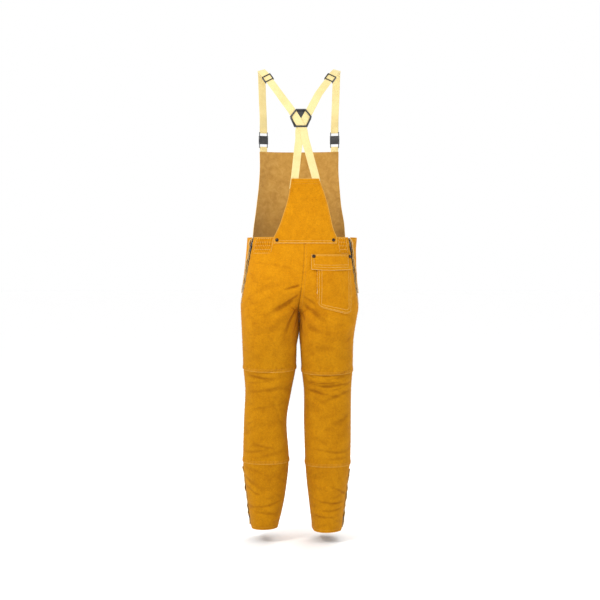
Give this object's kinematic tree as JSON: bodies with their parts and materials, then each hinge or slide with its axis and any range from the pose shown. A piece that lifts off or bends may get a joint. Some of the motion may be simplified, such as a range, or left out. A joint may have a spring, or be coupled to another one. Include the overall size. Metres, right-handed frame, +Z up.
{
  "type": "welder's bib overalls",
  "caption": "Leather bib-and-brace overalls for welding, as worn: back and front bib, crossed elastic braces, flapped back pocket, hip and ankle zips.",
  "frame": {"origin": "midway between the two places where the straps rest on the shoulders, at the underside of the straps", "axes": "+X to the wearer's right, +Y the way the wearer faces, +Z up"},
  "size_m": [0.3946, 0.2557, 1.5173],
  "materials": {
    "split_leather": "napped golden split cowhide, matt",
    "webbing": "ribbed pale yellow elastic webbing",
    "elastic": "ribbed elastic tape",
    "zip_tape": "black woven tape with moulded teeth",
    "zip_metal": "dark nickel",
    "bronze": "antique bronze",
    "hardware_plastic": "moulded dark grey acetal"
  },
  "bodies": {
    "garment": {"back_bib": "split_leather", "front_bib": "split_leather", "back_thigh_left": "split_leather", "back_knee_left": "split_leather", "back_calf_left": "split_leather", "front_thigh_left": "split_leather", "front_knee_left": "split_leather", "front_calf_left": "split_leather", "waist_elastic_left": "elastic", "waist_facing_left": "split_leather", "hip_zip_tape_back_left": "zip_tape", "hip_zip_tape_front_left": "zip_tape", "ankle_zip_tape_back_left": "zip_tape", "ankle_zip_tape_front_left": "zip_tape", "back_thigh_right": "split_leather", "back_knee_right": "split_leather", "back_calf_right": "split_leather", "front_thigh_right": "split_leather", "front_knee_right": "split_leather", "front_calf_right": "split_leather", "waist_elastic_right": "elastic", "waist_facing_right": "split_leather", "hip_zip_tape_back_right": "zip_tape", "hip_zip_tape_front_right": "zip_tape", "ankle_zip_tape_back_right": "zip_tape", "ankle_zip_tape_front_right": "zip_tape", "back_pocket": "split_leather", "waist_stud_left": "bronze", "waist_stud_right": "bronze", "cross_slider": "hardware_plastic", "strap_left": "webbing", "buckle_male_left": "hardware_plastic", "strap_right": "webbing", "buckle_male_right": "hardware_plastic"},
    "hip_zip_slider_left": {"hip_zip_slider_left": "zip_metal"},
    "hip_zip_pull_left": {"hip_zip_pull_left": "zip_metal"},
    "hip_placket_left": {"hip_placket_left": "split_leather"},
    "ankle_zip_slider_left": {"ankle_zip_slider_left": "zip_metal"},
    "ankle_zip_pull_left": {"ankle_zip_pull_left": "zip_metal"},
    "ankle_placket_left": {"ankle_placket_left": "split_leather"},
    "adjuster_left": {"adjuster_left": "hardware_plastic", "strap_end_left": "webbing"},
    "bib_buckle_left": {"buckle_female_left": "hardware_plastic", "buckle_tab_left": "webbing"},
    "hip_zip_slider_right": {"hip_zip_slider_right": "zip_metal"},
    "hip_zip_pull_right": {"hip_zip_pull_right": "zip_metal"},
    "hip_placket_right": {"hip_placket_right": "split_leather"},
    "ankle_zip_slider_right": {"ankle_zip_slider_right": "zip_metal"},
    "ankle_zip_pull_right": {"ankle_zip_pull_right": "zip_metal"},
    "ankle_placket_right": {"ankle_placket_right": "split_leather"},
    "adjuster_right": {"adjuster_right": "hardware_plastic", "strap_end_right": "webbing"},
    "bib_buckle_right": {"buckle_female_right": "hardware_plastic", "buckle_tab_right": "webbing"},
    "pocket_flap": {"pocket_flap": "split_leather", "flap_stud_inner": "bronze", "flap_stud_outer": "bronze"}
  },
  "joints": [
    {"name": "hip_zip_slide_left", "type": "slide", "parent": "garment", "child": "hip_zip_slider_left", "axis": [-0.1791, 0.0952, -0.9792], "range_m": [0, 0.1854]},
    {"name": "hip_zip_pull_turn_left", "type": "hinge", "parent": "hip_zip_slider_left", "child": "hip_zip_pull_left", "pos_m": [-0.15597, -0.05958, -0.56763], "axis": [-0.3868, 0.9083, 0.1591], "range_deg": [0, 150]},
    {"name": "hip_placket_turn_left", "type": "hinge", "parent": "garment", "child": "hip_placket_left", "pos_m": [-0.16763, -0.03108, -0.55197], "axis": [-0.1138, 0.1166, -0.9866], "range_deg": [0, 60]},
    {"name": "ankle_zip_slide_left", "type": "slide", "parent": "garment", "child": "ankle_zip_slider_left", "axis": [-0.1234, 0.0031, 0.9924], "range_m": [0, 0.1555]},
    {"name": "ankle_zip_pull_turn_left", "type": "hinge", "parent": "ankle_zip_slider_left", "child": "ankle_zip_pull_left", "pos_m": [-0.16477, -0.01197, -1.46741], "axis": [-0.0562, 0.9984, -0.0101], "range_deg": [0, 150]},
    {"name": "ankle_placket_turn_left", "type": "hinge", "parent": "garment", "child": "ankle_placket_left", "pos_m": [-0.17909, 0.02162, -1.30408], "axis": [0.0919, 0.0002, -0.9958], "range_deg": [0, 60]},
    {"name": "adjuster_slide_left", "type": "slide", "parent": "garment", "child": "adjuster_left", "axis": [0.4981, -0.4777, -0.7236], "range_m": [0, 0.044]},
    {"name": "buckle_slide_left", "type": "slide", "parent": "garment", "child": "bib_buckle_left", "axis": [0, 0.0194, -0.9998], "range_m": [0, 0.025]},
    {"name": "hip_zip_slide_right", "type": "slide", "parent": "garment", "child": "hip_zip_slider_right", "axis": [0.137, 0.0959, -0.9859], "range_m": [0, 0.1839]},
    {"name": "hip_zip_pull_turn_right", "type": "hinge", "parent": "hip_zip_slider_right", "child": "hip_zip_pull_right", "pos_m": [0.16757, -0.05953, -0.56774], "axis": [-0.3598, -0.9225, -0.1397], "range_deg": [0, 150]},
    {"name": "hip_placket_turn_right", "type": "hinge", "parent": "garment", "child": "hip_placket_right", "pos_m": [0.18428, -0.03384, -0.55199], "axis": [-0.049, -0.1319, 0.9901], "range_deg": [0, 60]},
    {"name": "ankle_zip_slide_right", "type": "slide", "parent": "garment", "child": "ankle_zip_slider_right", "axis": [0.1204, 0.0029, 0.9927], "range_m": [0, 0.1555]},
    {"name": "ankle_zip_pull_turn_right", "type": "hinge", "parent": "ankle_zip_slider_right", "child": "ankle_zip_pull_right", "pos_m": [0.14627, -0.01199, -1.47639], "axis": [-0.0604, -0.9981, 0.0103], "range_deg": [0, 150]},
    {"name": "ankle_placket_turn_right", "type": "hinge", "parent": "garment", "child": "ankle_placket_right", "pos_m": [0.16058, 0.02166, -1.31309], "axis": [0.0904, 0.0001, 0.9959], "range_deg": [0, 60]},
    {"name": "adjuster_slide_right", "type": "slide", "parent": "garment", "child": "adjuster_right", "axis": [-0.4969, -0.4774, -0.7246], "range_m": [0, 0.044]},
    {"name": "buckle_slide_right", "type": "slide", "parent": "garment", "child": "bib_buckle_right", "axis": [0, 0.0217, -0.9998], "range_m": [0, 0.025]},
    {"name": "pocket_flap_turn", "type": "hinge", "parent": "garment", "child": "pocket_flap", "pos_m": [0.10299, -0.0949, -0.60348], "axis": [-0.9235, -0.3835, 0.0029], "range_deg": [0, 45]}
  ]
}
